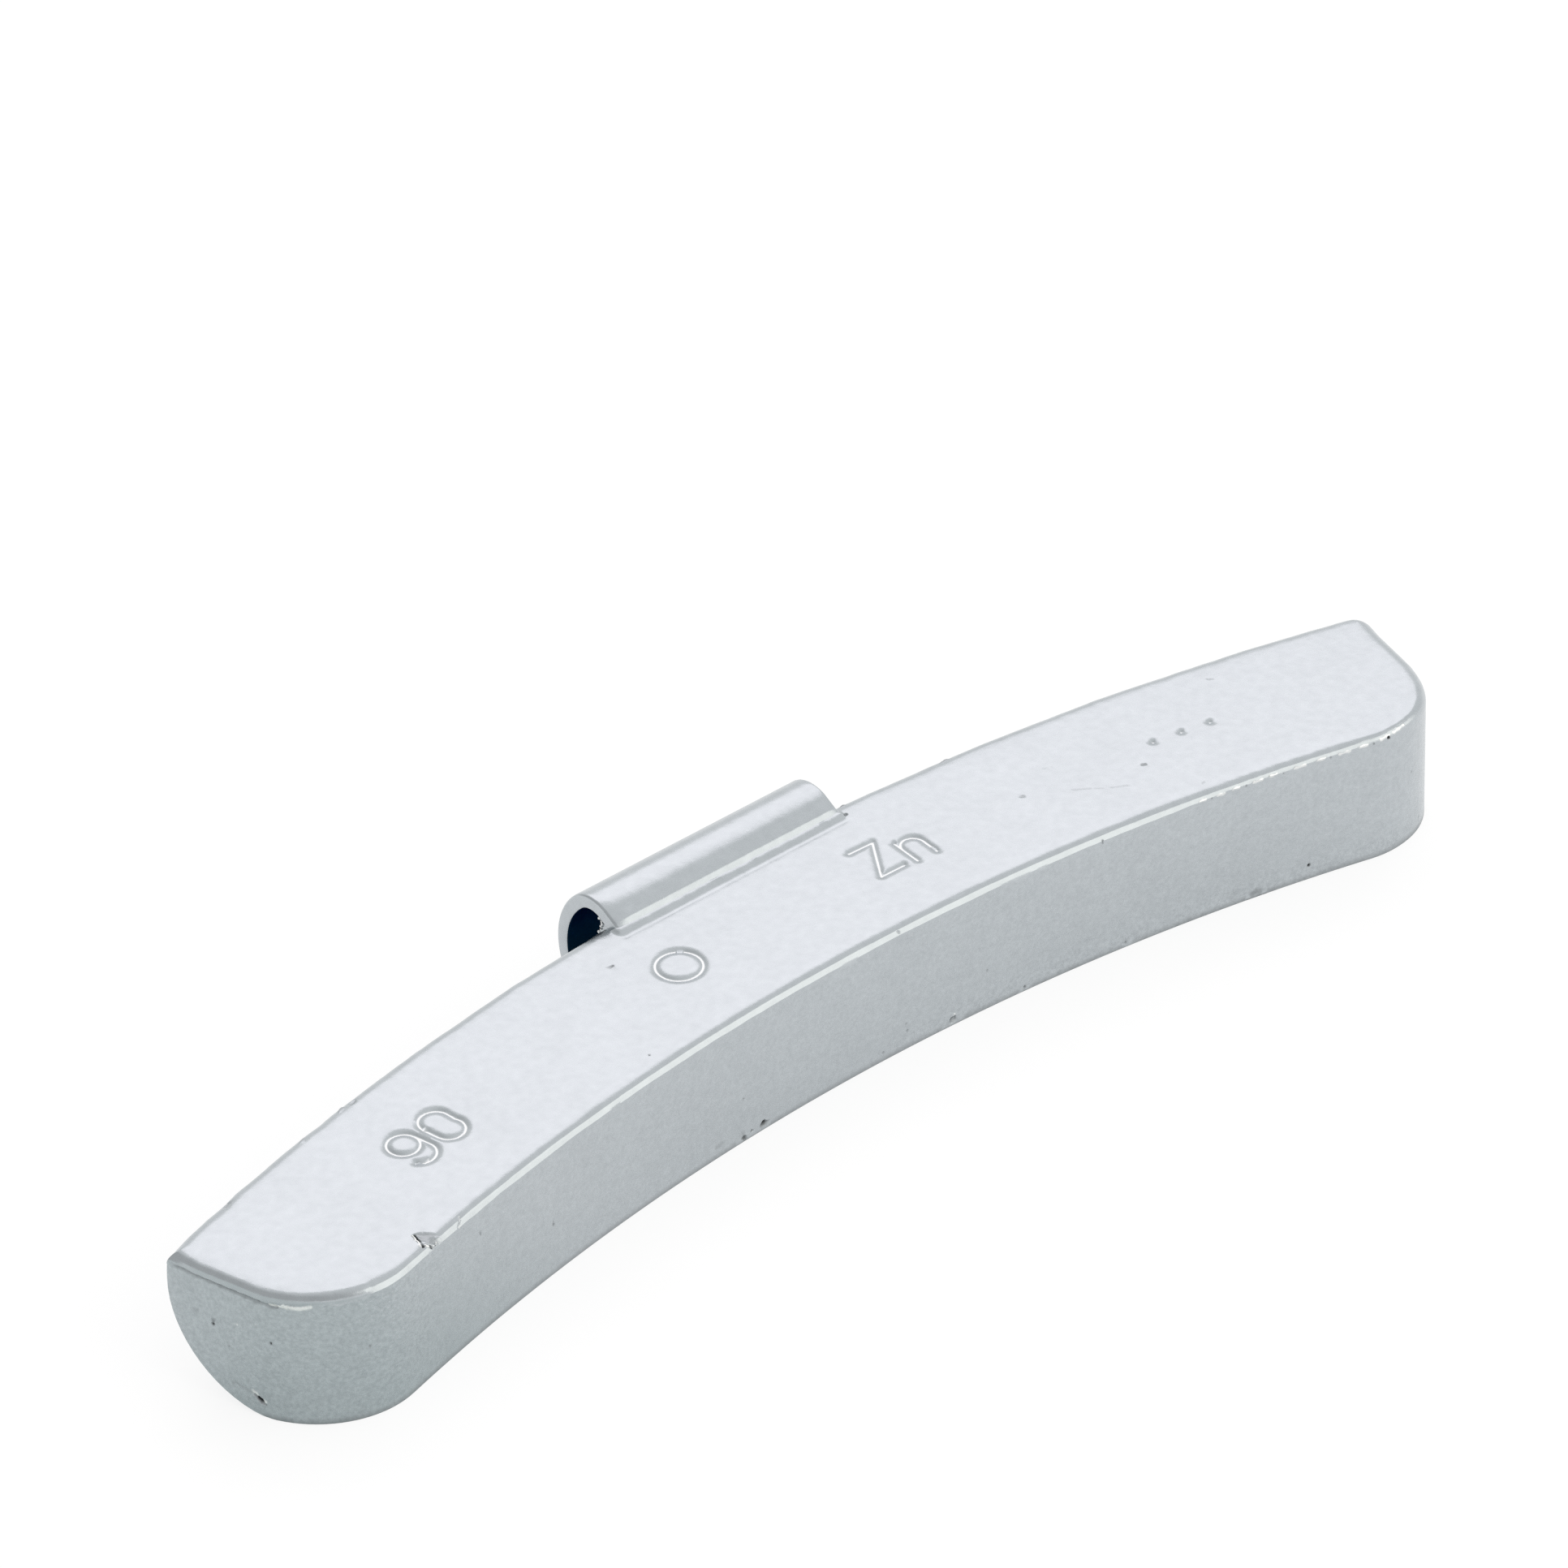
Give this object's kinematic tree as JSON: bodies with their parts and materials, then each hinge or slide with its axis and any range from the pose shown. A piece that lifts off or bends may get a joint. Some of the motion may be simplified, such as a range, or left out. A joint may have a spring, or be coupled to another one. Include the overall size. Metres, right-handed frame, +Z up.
{
  "type": "wheel balance weight",
  "caption": "Clip-on wheel balance weight: a curved, silver-coated zinc bar with a rolled spring-steel clip that hooks over the lip of a steel rim's flange.",
  "frame": {"origin": "middle of the footprint, on the surface that the weight lies on", "axes": "+X along the bar, +Y to the convex side that carries the clip, +Z up through the marked face"},
  "size_m": [0.1078, 0.0247, 0.0114],
  "materials": {
    "body_coat": "silver coating on die-cast zinc, satin",
    "clip_coat": "silver coating on rolled spring steel, satin"
  },
  "bodies": {
    "root": {"cast_body": "body_coat", "spring_clip": "clip_coat"}
  },
  "joints": []
}
